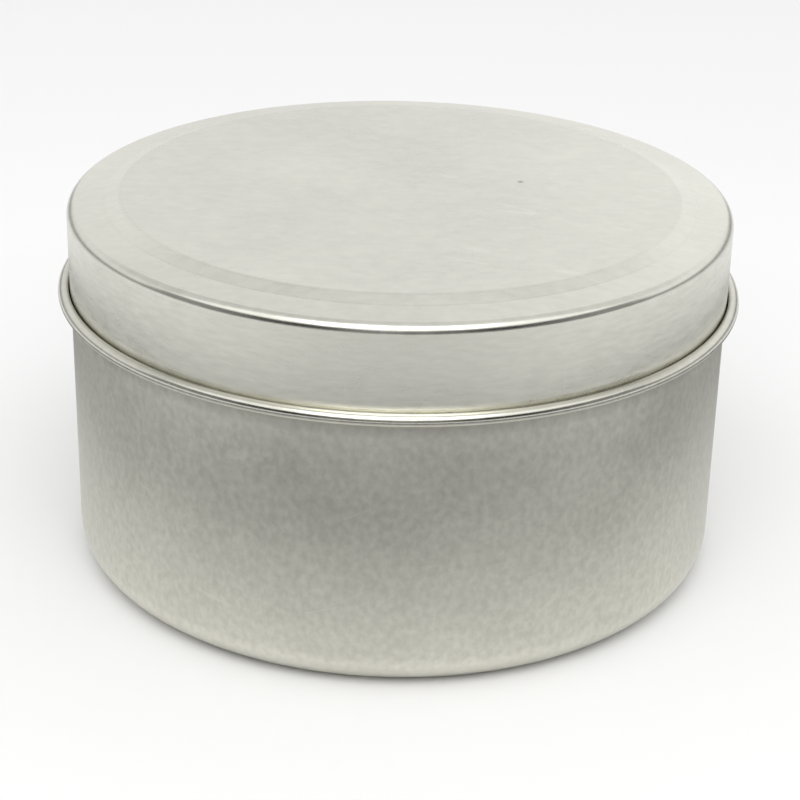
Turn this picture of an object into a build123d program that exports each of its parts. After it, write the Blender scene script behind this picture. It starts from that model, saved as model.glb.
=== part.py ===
from build123d import *
import os

# Candle tin: a seamless cup drawn from tinplate and a slip-cover lid that seats inside the cup's bead.
# Millimetres. Z is up, and the origin is the centre of the base, on the plane that it stands on.
# Each piece is one drawn sheet. Its outline is the outside of that sheet, from the axis outwards,
# in the half plane where x is the distance from the axis and y is the height. The sheet's own
# thickness is added on the inside, and the section is turned once round the axis.

# Sheet
sheet = 0.25  # thickness of the tinplate

# Lid
lid_radius = 41.5  # outside of the skirt
lid_depth = 10.95  # from the lowest point of the hem to the sharp corner of the rim
rim_radius = 1.15  # outside radius of the rounded rim
shoulder_width = 4.5  # from the skirt's outside to the foot of the step
shoulder_rise = 0.6  # height of the step's foot above the rim corner
step_width = 2.0  # sloping step between the shoulder and the raised panel
step_rise = 0.6  # height of the panel above the step's foot
step_bend = 2.0  # radius of the two bends of the step
hem_radius = 0.4  # outside radius of the edge rolled inwards at the foot of the skirt
hem_turn = 200  # how far the hem is rolled, in degrees

# Body
lid_overhang = 0.1  # how far the skirt stands outside the wall of the body
bead_height = 35.42  # centre of the bead that the lid seats inside
bead_radius = 0.78  # outside radius of the bead's section
bead_reach = 1.58  # how far the bead stands out from the wall
bead_root = 0.3  # radius of the hollow where the wall turns out into the bead
lip_radius = 0.45  # outside radius where the bead's crest turns down into the seat
curl_radius = 0.6  # outside radius of the mouth's edge, curled inwards
curl_turn = 240  # how far the mouth's edge is curled, in degrees
base_corner = 4.2  # outside radius between the wall and the base
ring_width = 1.0  # flat ring that the tin stands on
recess_depth = 1.0  # height of the base panel above the standing plane
recess_width = 1.4  # sloping wall between the standing ring and the base panel
recess_bend = 0.8  # radius of the two bends of that wall

# Clearances
hem_clearance = 0.1  # from the lid's hem to the neck and to the seat, all round the hem
mouth_clearance = 0.45  # from the top of the curled mouth to the underside of the lid

# Radii that the two pieces share
body_radius = lid_radius - lid_overhang
hem_centre = lid_radius - hem_radius
seat_radius = hem_radius + hem_clearance
neck_radius = hem_centre - seat_radius

# Bead and seat. The bead's underside and crest are level. The crest turns down, through the lip, into a
# gutter that is concentric with the hem, so the clearance is the same all round the hem.
bead_centre = body_radius + bead_reach - bead_radius
wall_top = bead_height - bead_radius - bead_root
lip_centre = hem_centre + seat_radius + lip_radius
seat_height = bead_height + bead_radius - lip_radius

# Heights
rim_height = seat_height - hem_radius + lid_depth
step_foot = rim_height + shoulder_rise
lid_top = step_foot + step_rise
shoulder_slope = shoulder_rise / shoulder_width
lid_underside = rim_height + (lid_radius - neck_radius) * shoulder_slope - sheet
mouth_height = lid_underside - mouth_clearance

# Lid's plan
step_radius = lid_radius - shoulder_width
panel_radius = step_radius - step_width

# Base's plan
ring_outer = body_radius - base_corner
ring_inner = ring_outer - ring_width
base_panel_radius = ring_inner - recess_width

os.makedirs("parts", exist_ok=True)


# Body: base panel, standing ring, wall, bead, seat, neck and curled mouth in one drawn sheet
with BuildPart() as tin_body:
    with BuildSketch(Plane.XZ):
        with BuildLine():
            base_and_wall = FilletPolyline(
                (0, recess_depth),
                (base_panel_radius, recess_depth),
                (ring_inner, 0),
                (body_radius, 0),
                (body_radius, wall_top),
                radius=[recess_bend, recess_bend, base_corner],
            )
            root = JernArc(base_and_wall @ 1, (0, 1), bead_root, -90)
            underside = Line(root @ 1, (bead_centre, bead_height - bead_radius))
            bead = JernArc(underside @ 1, (1, 0), bead_radius, 180)
            crest = Line(bead @ 1, (lip_centre, bead_height + bead_radius))
            lip = JernArc(crest @ 1, (-1, 0), lip_radius, 90)
            seat = JernArc(lip @ 1, (0, -1), seat_radius, -180)
            neck = Line(seat @ 1, (neck_radius, mouth_height - curl_radius))
            JernArc(neck @ 1, (0, 1), curl_radius, curl_turn)
            offset(amount=sheet, side=Side.RIGHT)
        make_face()
    revolve(axis=Axis.Z)
tin_body.part.label = "tin_body"
export_step(tin_body.part, "parts/tin_body.step")


# Lid: raised panel, sloping step, shoulder, rounded rim, skirt and rolled hem in one drawn sheet
with BuildPart() as lid:
    with BuildSketch(Plane.XZ):
        with BuildLine():
            top_and_skirt = FilletPolyline(
                (0, lid_top),
                (panel_radius, lid_top),
                (step_radius, step_foot),
                (lid_radius, rim_height),
                (lid_radius, seat_height),
                radius=[step_bend, step_bend, rim_radius],
            )
            JernArc(top_and_skirt @ 1, (0, -1), hem_radius, -hem_turn)
            offset(amount=sheet, side=Side.RIGHT)
        make_face()
    revolve(axis=Axis.Z)
lid.part.label = "lid"
export_step(lid.part, "parts/lid.step")
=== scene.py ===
import math

import bpy
import numpy as np
from mathutils import Euler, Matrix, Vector


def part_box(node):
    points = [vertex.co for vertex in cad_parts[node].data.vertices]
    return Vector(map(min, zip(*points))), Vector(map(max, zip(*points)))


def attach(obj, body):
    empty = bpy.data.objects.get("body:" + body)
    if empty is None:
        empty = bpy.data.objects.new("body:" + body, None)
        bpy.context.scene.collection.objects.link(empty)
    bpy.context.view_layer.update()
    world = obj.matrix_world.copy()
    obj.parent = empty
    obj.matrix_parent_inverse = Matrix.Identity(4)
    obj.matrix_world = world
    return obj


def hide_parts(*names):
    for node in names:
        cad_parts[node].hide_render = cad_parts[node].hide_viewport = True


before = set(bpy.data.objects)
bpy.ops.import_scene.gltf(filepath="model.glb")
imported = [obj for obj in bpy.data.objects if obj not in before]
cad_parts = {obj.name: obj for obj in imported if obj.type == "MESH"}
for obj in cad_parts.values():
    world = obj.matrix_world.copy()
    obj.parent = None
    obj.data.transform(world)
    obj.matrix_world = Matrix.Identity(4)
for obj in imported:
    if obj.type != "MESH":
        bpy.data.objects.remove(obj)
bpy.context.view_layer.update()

# Candle tin of bare tinplate: a drawn cup and a slip-cover lid. Each piece is one sheet, so each is
# the outside line of that sheet, given the sheet's thickness on its inside, and turned once round
# the tin's axis. Metres, with Z up and the origin at the centre of the base.

body_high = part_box("tin_body")[1]
lid_low, lid_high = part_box("lid")

MM = 0.001
SHEET = 0.25 * MM  # thickness of the tinplate
ROUND_STEPS = 288  # columns of faces round the axis
BEND_STEP = 9  # degrees between points along a bend
RUN_STEP = 1.6 * MM  # longest distance between points along a straight run
RUN_GUARD = 0.06 * MM  # distance of the extra point that holds a run flat beside a bend
UNEVEN = 0.008 * MM  # size of the waves that drawing leaves in the sheet
BURNISH_AND_SHADE_RADIUS = 0.6 * MM  # a bend of this radius or tighter is burnished fully and gets the full painted bend shade
GROOVE_SHADE_REACH = 0.62 * MM  # how far the painted shade in a hollow spreads


# ---------------------------------------------------------------- the outline of a sheet

def spot(x, y, normal_x, normal_y):
    """One point of an outline with its outward normal."""
    return np.array([[x, y, normal_x, normal_y]], float)


def arc(centre, radius, start, end, hollow=False):
    """A bend: centre + radius * (cos a, sin a), with a from start to end in degrees. The outward
    normal points away from the centre, or towards it where the outside of the bend is hollow."""
    steps = max(4, math.ceil(abs(end - start) / BEND_STEP))
    a = np.radians(np.linspace(start, end, steps + 1))
    ray = np.stack([np.cos(a), np.sin(a)], 1)
    return np.concatenate([np.array(centre) + radius * ray, -ray if hollow else ray], 1)


def corner(before, at, after, radius, outside):
    """The bend that rounds the corner `at` between straight runs from `before` and to `after`. It is
    tangent to both. outside is +1 where the sheet's outside lies left of the way, and -1 right."""
    before, at, after = (np.array(p, float) for p in (before, at, after))
    way_in = (at - before) / np.linalg.norm(at - before)
    way_out = (after - at) / np.linalg.norm(after - at)
    turn = math.atan2(way_in[0] * way_out[1] - way_in[1] * way_out[0], way_in @ way_out)
    hand = math.copysign(1, turn)
    left = np.array([-way_in[1], way_in[0]])
    centre = at - radius * math.tan(abs(turn) / 2) * way_in + hand * radius * left
    start = math.degrees(math.atan2(*(-hand * left)[::-1]))
    return arc(centre, radius, start, start + math.degrees(turn), hollow=hand == outside)


def outline(*bends):
    """Joins bends with straight runs. Between two bends the points and the normals go in a straight
    line from the end of one to the start of the next, and every run gets points along it."""
    line = np.concatenate(bends)
    along = np.concatenate([[0], np.cumsum(np.hypot(*np.diff(line[:, :2], axis=0).T))])
    ends = np.cumsum([len(bend) for bend in bends[:-1]]) - 1
    runs = ends[np.diff(along)[ends] > 4 * RUN_GUARD]
    even = np.concatenate([
        np.linspace(along[i] + RUN_GUARD, along[i + 1] - RUN_GUARD,
                    max(2, math.ceil((along[i + 1] - along[i]) / RUN_STEP)))
        for i in runs])
    t = np.unique(np.round(np.concatenate([along, even]), 8))
    return np.stack([np.interp(t, along, line[:, k]) for k in range(4)], 1)


# ---------------------------------------------------------------- a turned sheet

def ripple(along, around, reach, seed, size):
    """The unevenness that drawing leaves: the sum, for 2 to 7 waves to the turn, of
    cos(waves * around + phase) * cos(along * pace + shift) / waves, with seeded phase, pace and shift,
    times size and the square of reach, so that it fades out towards the axis."""
    dice = np.random.default_rng(seed)
    total = np.zeros(np.broadcast_shapes(along.shape, around.shape))
    for waves in range(2, 8):
        phase, slow, shift = dice.uniform(0, 2 * math.pi, 3)
        pace = 60 + 25 * slow
        total = total + np.cos(waves * around + phase) * np.cos(along * pace + shift) / waves
    return size * total * reach ** 2


def turned_sheet(name, line, seed, hollow):
    """A closed shell. Its section is the outline and, going back, the outline moved one sheet
    thickness inwards along its normals. Point (i, j) of the shell is section point i turned
    2 pi j / ROUND_STEPS round Z, and the ripple moves it along its normal.
    Its point attributes are burnish_and_shade, the bend's curvature times BURNISH_AND_SHADE_RADIUS,
    which marks bends both for burnishing and for painted shade, groove_shade, a painted shade that
    falls off round the point `hollow` as exp(-(distance / GROOVE_SHADE_REACH) ** 2), level, 1 where
    the sheet lies flat and 0 where it stands upright, and inside, 1 on the inner face."""
    section = np.concatenate([line, line[::-1]])
    depth = np.concatenate([np.zeros(len(line)), np.full(len(line), SHEET)])
    step = np.hypot(*np.diff(line[:, :2], axis=0).T)
    along = np.concatenate([[0], np.cumsum(step)])
    along = np.concatenate([along, along[::-1]])
    around = np.arange(ROUND_STEPS) * 2 * math.pi / ROUND_STEPS
    reach = np.clip(section[:, :1] / line[:, 0].max(), 0, 1)
    move = ripple(along[:, None], around[None, :], reach, seed, UNEVEN) - depth[:, None]
    radius = section[:, :1] + move * section[:, 2:3]
    height = section[:, 1:2] + move * section[:, 3:4]
    rings = np.stack([radius * np.cos(around), radius * np.sin(around),
                      np.broadcast_to(height, radius.shape)], -1)[1:-1]
    poles = [(0, 0, height[0, 0]), (0, 0, height[-1, 0])]
    verts = np.concatenate([rings.reshape(-1, 3), poles])

    count = len(rings)
    here = np.arange(ROUND_STEPS)
    after = (here + 1) % ROUND_STEPS
    row = np.arange(count - 1)[:, None] * ROUND_STEPS
    quads = np.stack([row + here, row + after, row + ROUND_STEPS + after, row + ROUND_STEPS + here], -1)
    last = (count - 1) * ROUND_STEPS
    first_fan = np.stack([after, here, np.full(ROUND_STEPS, count * ROUND_STEPS)], -1)
    last_fan = np.stack([last + here, last + after, np.full(ROUND_STEPS, count * ROUND_STEPS + 1)], -1)
    way = line[1, :2] - line[0, :2]
    if way[0] * line[0, 3] - way[1] * line[0, 2] > 0:
        quads, first_fan, last_fan = quads[..., ::-1], first_fan[:, ::-1], last_fan[:, ::-1]
    faces = quads.reshape(-1, 4).tolist() + first_fan.tolist() + last_fan.tolist()

    mesh = bpy.data.meshes.new(name)
    mesh.from_pydata(verts.tolist(), [], faces)
    mesh.polygons.foreach_set("use_smooth", np.ones(len(faces), bool))

    heading = np.unwrap(np.arctan2(line[:, 3], line[:, 2]))
    burnish_and_shade = np.clip(np.abs(np.gradient(heading, along[:len(line)])) * BURNISH_AND_SHADE_RADIUS, 0, 1)
    level = np.abs(line[:, 3])
    inner = np.concatenate([np.zeros(len(line)), np.ones(len(line))])
    far = np.hypot(line[:, 0] - hollow[0], line[:, 1] - hollow[1])
    groove_shade = np.exp(-(far / GROOVE_SHADE_REACH) ** 2)
    for key, value in (("burnish_and_shade", np.concatenate([burnish_and_shade, burnish_and_shade[::-1]])),
                       ("groove_shade", np.concatenate([groove_shade, np.zeros(len(line))])),
                       ("level", np.concatenate([level, level[::-1]])),
                       ("inside", inner)):
        per_ring = np.repeat(value[1:-1], ROUND_STEPS)
        data = np.concatenate([per_ring, value[[0, -1]]]).astype(np.float32)
        mesh.attributes.new(key, "FLOAT", "POINT").data.foreach_set("value", data)
    mesh.validate()
    piece = bpy.data.objects.new(name, mesh)
    bpy.context.scene.collection.objects.link(piece)
    return piece


# ---------------------------------------------------------------- the two pieces

LID_RADIUS = lid_high.x
LID_TOP = lid_high.z
HEM_RADIUS = 0.4 * MM  # outside radius of the skirt's rolled edge
HEM_CENTRE = (LID_RADIUS - HEM_RADIUS, lid_low.z + HEM_RADIUS)
SHOULDER_WIDTH = 4.5 * MM
SHOULDER_RISE = 0.6 * MM
STEP_WIDTH = 2.0 * MM
STEP_RISE = 0.6 * MM
STEP_BEND = 2.0 * MM
RIM_RADIUS = 1.15 * MM
HEM_TURN = 200  # degrees
STEP_FOOT = (LID_RADIUS - SHOULDER_WIDTH, LID_TOP - STEP_RISE)
PANEL_EDGE = (STEP_FOOT[0] - STEP_WIDTH, LID_TOP)
RIM = (LID_RADIUS, STEP_FOOT[1] - SHOULDER_RISE)


def lid_outline():
    """Raised panel, sloping step, rising shoulder, rounded rim, skirt, and the hem rolled inwards."""
    return outline(
        spot(0, LID_TOP, 0, 1),
        corner((0, LID_TOP), PANEL_EDGE, STEP_FOOT, STEP_BEND, outside=1),
        corner(PANEL_EDGE, STEP_FOOT, RIM, STEP_BEND, outside=1),
        corner(STEP_FOOT, RIM, (LID_RADIUS, HEM_CENTRE[1]), RIM_RADIUS, outside=1),
        arc(HEM_CENTRE, HEM_RADIUS, 0, -HEM_TURN))


LID_OVERHANG = 0.1 * MM  # how far the skirt stands outside the wall
HEM_CLEARANCE = 0.1 * MM  # all round the hem in its gutter
WALL_RADIUS = LID_RADIUS - LID_OVERHANG
BEAD_RADIUS = 0.78 * MM
BEAD_HEIGHT = 35.42 * MM
BEAD = (body_high.x - BEAD_RADIUS, BEAD_HEIGHT)
SEAT_RADIUS = HEM_RADIUS + HEM_CLEARANCE  # the gutter that the lid's hem stands in
LIP_RADIUS = 0.45 * MM
CURL_RADIUS = 0.6 * MM
CURL_TURN = 240  # degrees
ROOT_RADIUS = 0.3 * MM
BASE_CORNER = 4.2 * MM
RING_WIDTH = 1.0 * MM  # the flat ring that the tin stands on
RECESS = 1.0 * MM  # height of the base panel above the floor
RECESS_WIDTH = 1.4 * MM
RECESS_BEND = 0.8 * MM


def body_outline():
    """Base panel, standing ring, rounded corner, wall, bead, the lip that turns down from its crest,
    the gutter that the lid seats in, neck, curled mouth."""
    ring_inner = WALL_RADIUS - BASE_CORNER - RING_WIDTH
    panel = ring_inner - RECESS_WIDTH
    root = (WALL_RADIUS + ROOT_RADIUS, BEAD[1] - BEAD_RADIUS - ROOT_RADIUS)
    lip = (HEM_CENTRE[0] + SEAT_RADIUS + LIP_RADIUS, HEM_CENTRE[1])
    neck = HEM_CENTRE[0] - SEAT_RADIUS
    return outline(
        spot(0, RECESS, 0, -1),
        corner((0, RECESS), (panel, RECESS), (ring_inner, 0), RECESS_BEND, outside=-1),
        corner((panel, RECESS), (ring_inner, 0), (WALL_RADIUS, 0), RECESS_BEND, outside=-1),
        corner((ring_inner, 0), (WALL_RADIUS, 0), (WALL_RADIUS, root[1]), BASE_CORNER, outside=-1),
        arc(root, ROOT_RADIUS, 180, 90, hollow=True),
        arc(BEAD, BEAD_RADIUS, -90, 90),
        arc(lip, LIP_RADIUS, 90, 180),
        arc(HEM_CENTRE, SEAT_RADIUS, 0, -180, hollow=True),
        arc((neck - CURL_RADIUS, body_high.z - CURL_RADIUS), CURL_RADIUS, 0, CURL_TURN))


lid = turned_sheet("lid_sheet", lid_outline(), seed=4, hollow=HEM_CENTRE)
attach(lid, "lid")
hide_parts("lid")

# the hollow is the root under the bead, where painted shade darkens the wall
body = turned_sheet("body_sheet", body_outline(), seed=9,
                    hollow=(WALL_RADIUS, BEAD[1] - BEAD_RADIUS))
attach(body, "tin_body")
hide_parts("tin_body")


# ---------------------------------------------------------------- finishes

def add_node(tree, kind, operation=None, **values):
    """A new node of the given kind, with values on its named inputs. A value that is an output of
    another node is linked."""
    node = tree.nodes.new(kind)
    if operation:
        node.operation = operation
    for key, value in values.items():
        socket = node.inputs[int(key[1:])] if key[0] == "_" else node.inputs[key.replace("_", " ")]
        if isinstance(value, bpy.types.NodeSocket):
            tree.links.new(value, socket)
        else:
            socket.default_value = value
    return node


def arithmetic(tree, operation, first, second):
    """The output of a Math node that works the operation on first and second."""
    return add_node(tree, "ShaderNodeMath", operation, _0=first, _1=second).outputs[0]


def remap(tree, value, low, high, start, end):
    """Goes evenly from start to end as the value goes from low to high, and stays level past both."""
    return add_node(tree, "ShaderNodeMapRange", Value=value, From_Min=low, From_Max=high,
                    To_Min=start, To_Max=end).outputs["Result"]


def noise(tree, place, stretch, detail, roughness=0.5):
    """A fractal noise from 0 to 1 on coordinates stretched by one factor per axis, in cells a metre."""
    stretched = add_node(tree, "ShaderNodeVectorMath", "MULTIPLY", _0=place, _1=stretch)
    return add_node(tree, "ShaderNodeTexNoise", Vector=stretched.outputs[0], Scale=1.0, Detail=detail,
                    Roughness=roughness).outputs["Fac"]


def effect(name, inputs, outputs):
    """An empty shader node group with named inputs and outputs, its tree, and its inner ends."""
    tree = bpy.data.node_groups.new(name, "ShaderNodeTree")
    for label, kind in inputs:
        tree.interface.new_socket(label, in_out="INPUT", socket_type="NodeSocket" + kind)
    for label in outputs:
        tree.interface.new_socket(label, in_out="OUTPUT", socket_type="NodeSocketFloat")
    return tree, tree.nodes.new("NodeGroupInput").outputs, tree.nodes.new("NodeGroupOutput").inputs


def make_grain():
    """Grain = the mill's rolling streaks on level metal, along X, and the marks of drawing on upright
    metal, each a noise stretched its own way; they cross over by how level the metal lies."""
    tree, given, result = effect("tin_grain", [("Place", "Vector"), ("Level", "Float"),
                                 ("Rolled Stretch", "Vector"), ("Drawn Stretch", "Vector")], ["Grain"])
    rolled = noise(tree, given["Place"], given["Rolled Stretch"], 3.0)
    drawn = noise(tree, given["Place"], given["Drawn Stretch"], 3.0)
    share = remap(tree, given["Level"], 0.3, 0.8, 0.0, 1.0)
    both = add_node(tree, "ShaderNodeMix", Factor=share, A=drawn, B=rolled)
    tree.links.new(both.outputs["Result"], result["Grain"])
    return tree


def make_mottle():
    """Mottle = the cloudy bloom of the tin coat: a broad noise with a third as much of a finer one."""
    tree, given, result = effect("tin_mottle", [("Place", "Vector"), ("Broad", "Vector"),
                                 ("Fine", "Vector")], ["Mottle"])
    broad = noise(tree, given["Place"], given["Broad"], 2.0)
    fine = noise(tree, given["Place"], given["Fine"], 4.0, 0.6)
    share = arithmetic(tree, "MULTIPLY", arithmetic(tree, "SUBTRACT", fine, 0.5), 0.35)
    tree.links.new(arithmetic(tree, "ADD", broad, share), result["Mottle"])
    return tree


def make_scratches():
    """Scratch = thin lines where a stretched, turned noise crosses its middle value, kept only in the
    places where a broad noise is high, so that they are short and few."""
    tree, given, result = effect("tin_scratches", [("Place", "Vector"), ("Turn", "Vector"),
                                 ("Stretch", "Vector")], ["Scratch"])
    turned = add_node(tree, "ShaderNodeMapping", Vector=given["Place"], Rotation=given["Turn"])
    wave = noise(tree, turned.outputs[0], given["Stretch"], 0.0)
    off_middle = add_node(tree, "ShaderNodeMath", "ABSOLUTE", _0=arithmetic(tree, "SUBTRACT", wave, 0.5))
    line = remap(tree, off_middle.outputs[0], 0.0, 0.012, 1.0, 0.0)
    places = remap(tree, noise(tree, given["Place"], (130, 130, 130), 1.0), 0.60, 0.66, 0.0, 1.0)
    tree.links.new(arithmetic(tree, "MULTIPLY", line, places), result["Scratch"])
    return tree


def make_specks():
    """Speck = small round marks: the middle of each cell of a Voronoi pattern, in the few cells whose
    own random value is above the given Share."""
    tree, given, result = effect("tin_specks", [("Place", "Vector"), ("Cells", "Float"),
                                 ("Share", "Float")], ["Speck"])
    cells = add_node(tree, "ShaderNodeTexVoronoi", Vector=given["Place"], Scale=given["Cells"])
    dot = remap(tree, cells.outputs["Distance"], 0.06, 0.13, 1.0, 0.0)
    chance = add_node(tree, "ShaderNodeSeparateColor", Color=cells.outputs["Color"]).outputs["Red"]
    chosen = add_node(tree, "ShaderNodeMath", "GREATER_THAN", _0=chance, _1=given["Share"]).outputs[0]
    tree.links.new(arithmetic(tree, "MULTIPLY", dot, chosen), result["Speck"])
    return tree


GRAIN, MOTTLE, SCRATCHES, SPECKS = make_grain(), make_mottle(), make_scratches(), make_specks()

# cells a metre along X, Y and Z
ROLLED_LINES = (560, 850, 560)  # the mill's streaks
ROUND_LINES = (420, 420, 1700)  # drawing marks that run round the lid's skirt
UPRIGHT_LINES = (1200, 1200, 1050)  # drawing marks that run up the body's wall
BROAD_CLOUDS = (45, 45, 60)
FINE_CLOUDS = (420, 420, 300)
HAIRLINES = (12, 260, 12)
SPECK_CELLS = 260.0
SPECK_SHARE = 0.972  # cells whose random value is above this have a speck
GRAIN_HEIGHT = 0.012 * MM
# dark colour of the specks; the painted shade at bends and in hollows uses it too
SPECK_AND_SHADE_COLOUR = (0.20, 0.18, 0.15, 1)


def tinplate(name, satin, burnished, light, dark, bend_shade, hollow_shade, drawn_stretch, turn, shift):
    """Bare tinplate. The colour goes from dark to light with the mottle and the grain and is paler on
    scratches. Specks darken it, and painted shade darkens the tight bends and the hollow. The bends are
    burnished smoother than the satin of the rest, and the grain lifts and the specks sink the surface."""
    material = bpy.data.materials.new(name)
    material.use_nodes = True
    tree = material.node_tree
    shader = tree.nodes["Principled BSDF"]
    shader.inputs["Metallic"].default_value = 1
    place = add_node(tree, "ShaderNodeTexCoord").outputs["Object"]
    place = add_node(tree, "ShaderNodeVectorMath", "ADD", _0=place, _1=shift).outputs[0]

    def attribute(key):
        """The piece's own point attribute of this name."""
        node = add_node(tree, "ShaderNodeAttribute")
        node.attribute_name = key
        return node.outputs["Fac"]

    def placed(group, **values):
        """The output of an effect, placed on the piece with its own values."""
        node = tree.nodes.new("ShaderNodeGroup")
        node.node_tree = group
        tree.links.new(place, node.inputs["Place"])
        for key, value in values.items():
            socket = node.inputs[key.replace("_", " ")]
            if isinstance(value, bpy.types.NodeSocket):
                tree.links.new(value, socket)
            else:
                socket.default_value = value
        return node.outputs[0]

    burnish_and_shade, level, inside = attribute("burnish_and_shade"), attribute("level"), attribute("inside")
    groove_shade = attribute("groove_shade")
    grain = placed(GRAIN, Level=level, Rolled_Stretch=ROLLED_LINES, Drawn_Stretch=drawn_stretch)
    mottle = placed(MOTTLE, Broad=BROAD_CLOUDS, Fine=FINE_CLOUDS)
    scratch = placed(SCRATCHES, Turn=turn, Stretch=HAIRLINES)
    speck = placed(SPECKS, Cells=SPECK_CELLS, Share=SPECK_SHARE)

    def times(value, factor):
        return arithmetic(tree, "MULTIPLY", value, factor)

    def plus(*values):
        total = values[0]
        for value in values[1:]:
            total = arithmetic(tree, "ADD", total, value)
        return total

    grain_share = remap(tree, level, 0.0, 1.0, 0.85, 0.42)
    tone = plus(times(remap(tree, mottle, 0.32, 0.68, -0.5, 0.5), 0.5), 0.5,
                times(remap(tree, grain, 0.30, 0.70, -0.5, 0.5), grain_share),
                times(scratch, 0.5))
    colour = add_node(tree, "ShaderNodeMix")
    colour.data_type = "RGBA"
    tree.links.new(tone, colour.inputs[0])
    colour.inputs[6].default_value = dark
    colour.inputs[7].default_value = light
    # Real specks, and painted shade at tight bends and in the hollow, mix the colour towards the dark
    # speck colour.
    marked_and_shaded = add_node(tree, "ShaderNodeMix")
    marked_and_shaded.data_type = "RGBA"
    shade = plus(times(speck, 0.55), times(burnish_and_shade, bend_shade), times(groove_shade, hollow_shade))
    tree.links.new(shade, marked_and_shaded.inputs[0])
    tree.links.new(colour.outputs[2], marked_and_shaded.inputs[6])
    marked_and_shaded.inputs[7].default_value = SPECK_AND_SHADE_COLOUR
    tree.links.new(marked_and_shaded.outputs[2], shader.inputs["Base Color"])

    smooth = remap(tree, burnish_and_shade, 0.0, 1.0, satin, burnished)
    rough = plus(smooth, times(plus(grain, -0.5), 0.12), times(plus(mottle, -0.5), 0.10),
                 times(inside, -0.06), times(scratch, 0.04), times(speck, 0.20))
    tree.links.new(rough, shader.inputs["Roughness"])

    height = plus(grain, times(speck, -0.5))
    bump = add_node(tree, "ShaderNodeBump", Strength=0.25, Distance=GRAIN_HEIGHT, Height=height)
    tree.links.new(bump.outputs["Normal"], shader.inputs["Normal"])
    return material


lid.data.materials.append(tinplate(
    "lid_tinplate", satin=0.30, burnished=0.15,
    light=(0.79, 0.785, 0.71, 1), dark=(0.66, 0.655, 0.59, 1), bend_shade=0.24, hollow_shade=0.0,
    drawn_stretch=ROUND_LINES, turn=(0.0, 0.0, 0.5), shift=(0.031, 0.012, 0.007)))
body.data.materials.append(tinplate(
    "body_tinplate", satin=0.34, burnished=0.16,
    light=(0.77, 0.76, 0.68, 1), dark=(0.63, 0.62, 0.55, 1), bend_shade=0.24, hollow_shade=0.55,
    drawn_stretch=UPRIGHT_LINES, turn=(0.9, 0.3, 0.4), shift=(0.004, 0.047, 0.021)))


# ---------------------------------------------------------------- floor, light and camera

def floor_sheet():
    """A plain pale sheet under the tin, lower than the tin's base by more than its unevenness."""
    half, height = 1.5, -0.02 * MM
    mesh = bpy.data.meshes.new("floor")
    mesh.from_pydata([(-half, -half, height), (half, -half, height), (half, half, height),
                      (-half, half, height)], [], [(0, 1, 2, 3)])
    floor = bpy.data.objects.new("floor", mesh)
    bpy.context.scene.collection.objects.link(floor)
    material = bpy.data.materials.new("pale_paper")
    material.use_nodes = True
    shader = material.node_tree.nodes["Principled BSDF"]
    shader.inputs["Base Color"].default_value = (0.86, 0.86, 0.86, 1)
    shader.inputs["Roughness"].default_value = 0.9
    mesh.materials.append(material)


def card(name, verts, faces, tone):
    """A sheet of card on the floor, which only reflections see. `tone` gives how pale it is from the
    place on it."""
    mesh = bpy.data.meshes.new(name)
    mesh.from_pydata(verts, [], faces)
    sheet = bpy.data.objects.new(name, mesh)
    bpy.context.scene.collection.objects.link(sheet)
    for sight in ("camera", "diffuse", "transmission", "volume_scatter", "shadow"):
        setattr(sheet, "visible_" + sight, False)
    material = bpy.data.materials.new(name)
    material.use_nodes = True
    tree = material.node_tree
    place = add_node(tree, "ShaderNodeTexCoord").outputs["Object"]
    shader = tree.nodes["Principled BSDF"]
    tree.links.new(tone(tree, place), shader.inputs["Base Color"])
    shader.inputs["Roughness"].default_value = 0.9
    mesh.materials.append(material)


def ring_card():
    """A ring of card round the tin: as pale as the floor at its inner edge, darker outwards, and pale
    again at its rim. It gives the wall of the body its darker upper part."""
    inner, outer, height, steps = 0.044, 0.122, 0.001, 96
    around = np.arange(steps) * 2 * math.pi / steps
    rings = np.stack([np.stack([r * np.cos(around), r * np.sin(around), np.full(steps, height)], 1)
                      for r in (inner, outer)])
    here = np.arange(steps)
    after = (here + 1) % steps
    faces = np.stack([here, steps + here, steps + after, after], 1)
    dark_from, rim_from = 0.098, 0.109

    def tone(tree, place):
        reach = add_node(tree, "ShaderNodeVectorMath", "LENGTH", _0=place).outputs["Value"]
        fade = remap(tree, reach, inner, dark_from, 0.76, 0.06)
        axes = add_node(tree, "ShaderNodeSeparateXYZ", _0=place).outputs
        sideways = add_node(tree, "ShaderNodeMath", "ABSOLUTE", _0=axes["X"]).outputs[0]
        paler_sides = remap(tree, sideways, 0.030, 0.085, 0.0, 0.10)
        edge = remap(tree, reach, rim_from, outer, 0.0, 0.66)
        return arithmetic(tree, "ADD", arithmetic(tree, "ADD", fade, edge), paler_sides)

    card("ring_card", rings.reshape(-1, 3).tolist(), faces.tolist(), tone)


def front_card():
    """The dark table in front of the pale paper: a wide strip that fades from the paper's tone."""
    half, near, far, height = 1.4, -0.15, -1.4, 0.0006

    def tone(tree, place):
        forward = add_node(tree, "ShaderNodeSeparateXYZ", _0=place).outputs["Y"]
        return remap(tree, forward, near - 0.1, near, 0.12, 0.84)

    verts = [(-half, far, height), (half, far, height), (half, near, height), (-half, near, height)]
    card("front_card", verts, [(0, 1, 2, 3)], tone)


def softbox(name, place, target, width, height, watts):
    """A soft light: a rectangle of the given size at `place`, facing `target`."""
    light = bpy.data.lights.new(name, "AREA")
    light.shape = "RECTANGLE"
    light.size = width
    light.size_y = height
    light.energy = watts
    box = bpy.data.objects.new(name, light)
    bpy.context.scene.collection.objects.link(box)
    box.location = place
    box.rotation_euler = (Vector(target) - Vector(place)).to_track_quat("-Z", "Y").to_euler()


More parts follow.
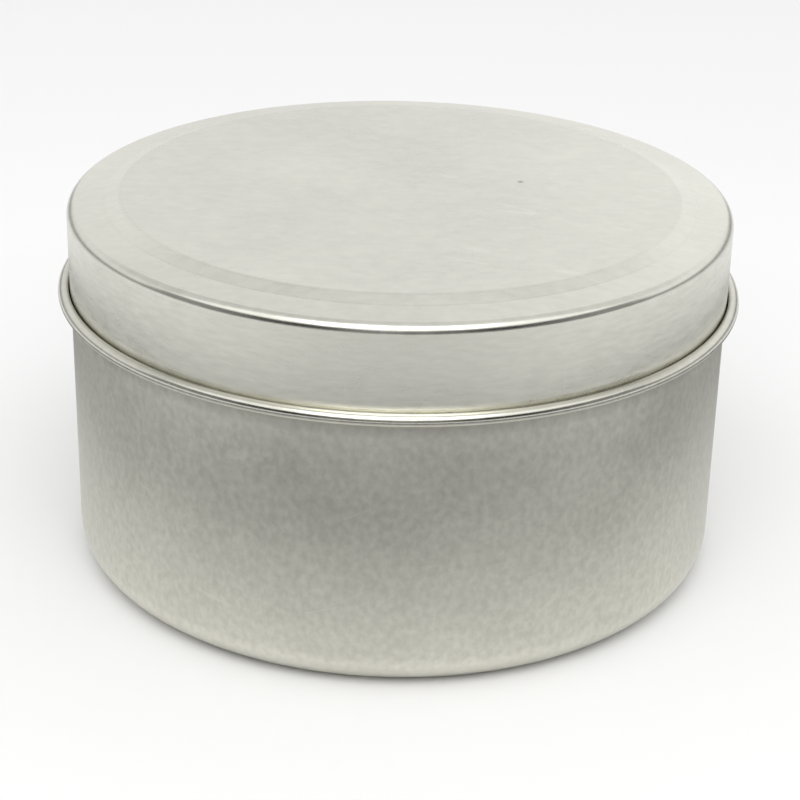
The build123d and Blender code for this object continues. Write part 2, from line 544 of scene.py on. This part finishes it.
def studio_room():
    """The room round the tin: a white backdrop behind, greyer at its sides and low down, the dark room
    in front with a bright band above it, and a bright ceiling. What the camera sees straight on is the
    white of the backdrop all round."""
    world = bpy.data.worlds.new("studio")
    world.use_nodes = True
    bpy.context.scene.world = world
    tree = world.node_tree
    where = add_node(tree, "ShaderNodeTexCoord")
    axes = add_node(tree, "ShaderNodeSeparateXYZ", _0=where.outputs["Generated"]).outputs
    sideways = add_node(tree, "ShaderNodeMath", "ABSOLUTE", _0=axes["X"]).outputs[0]

    def ramp(value, low, high, start, end):
        """Goes smoothly from start to end as the value goes from low to high."""
        node = add_node(tree, "ShaderNodeMapRange", Value=value, From_Min=low, From_Max=high,
                        To_Min=start, To_Max=end)
        node.interpolation_type = "SMOOTHSTEP"
        return node.outputs["Result"]

    def mix(factor, low, high):
        """low where the factor is 0 and high where it is 1."""
        return add_node(tree, "ShaderNodeMix", Factor=factor, A=low, B=high).outputs["Result"]

    across = arithmetic(tree, "ADD", ramp(axes["X"], -0.02, 0.16, 0.90, 1.03),
                        ramp(sideways, 0.14, 0.30, 0.0, 0.09))
    high_sides = arithmetic(tree, "MULTIPLY", ramp(sideways, 0.06, 0.22, 0.0, 0.19),
                            ramp(axes["Z"], 0.50, 0.66, 0.0, 1.0))
    backdrop = arithmetic(tree, "MULTIPLY", arithmetic(tree, "SUBTRACT", across, high_sides),
                          ramp(axes["Z"], 0.42, 0.80, 1.0, 0.94))
    at_side = arithmetic(tree, "MULTIPLY", ramp(sideways, 0.26, 0.42, 0.0, 1.0),
                         ramp(axes["Z"], 0.16, 0.30, 1.0, 0.0))
    behind = mix(at_side, backdrop, 0.45)
    dark_room = arithmetic(tree, "ADD", ramp(sideways, 0.1, 0.5, 0.30, 0.02),
                           ramp(sideways, 0.62, 0.92, 0.0, 0.30))
    lamp_edge = arithmetic(tree, "SUBTRACT", axes["Z"], arithmetic(tree, "MULTIPLY", sideways, 0.30))
    lamp = ramp(axes["Z"], 0.80, 0.99, 1.35, 0.90)
    front_lamp = mix(ramp(lamp_edge, 0.27, 0.36, 0.0, 1.0), dark_room, lamp)
    room = mix(ramp(axes["Y"], -0.06, 0.06, 0.0, 1.0), front_lamp, behind)
    seen = mix(add_node(tree, "ShaderNodeLightPath").outputs["Is Camera Ray"], room, 1.0)
    backdrop_light = tree.nodes["Background"]
    backdrop_light.inputs["Color"].default_value = (1, 1, 1, 1)
    tree.links.new(seen, backdrop_light.inputs["Strength"])


floor_sheet()
ring_card()
front_card()
studio_room()
softbox("front_softbox", place=(0, -0.36, 0.52), target=(0, 0, 0), width=0.5, height=0.4, watts=1.5)

bpy.context.scene.view_settings.view_transform = "Standard"

camera = bpy.data.objects.new("camera", bpy.data.cameras.new("camera"))
bpy.context.scene.collection.objects.link(camera)
camera.data.lens = 95.0
camera.data.sensor_width = 36.0
camera.location = (0, -6.041 * LID_RADIUS, 3.2552 * LID_RADIUS)
camera.rotation_mode = "QUATERNION"
LOOKS_DOWN = math.radians(24.99)
LOOKS_RIGHT = 0.002
TILTS_LEFT = 0.023
aim = Euler((math.radians(90) - LOOKS_DOWN, 0, -LOOKS_RIGHT), "XYZ").to_matrix()
roll = Euler((0, 0, TILTS_LEFT), "XYZ").to_matrix()
camera.rotation_quaternion = (aim @ roll).to_quaternion()
bpy.context.scene.camera = camera
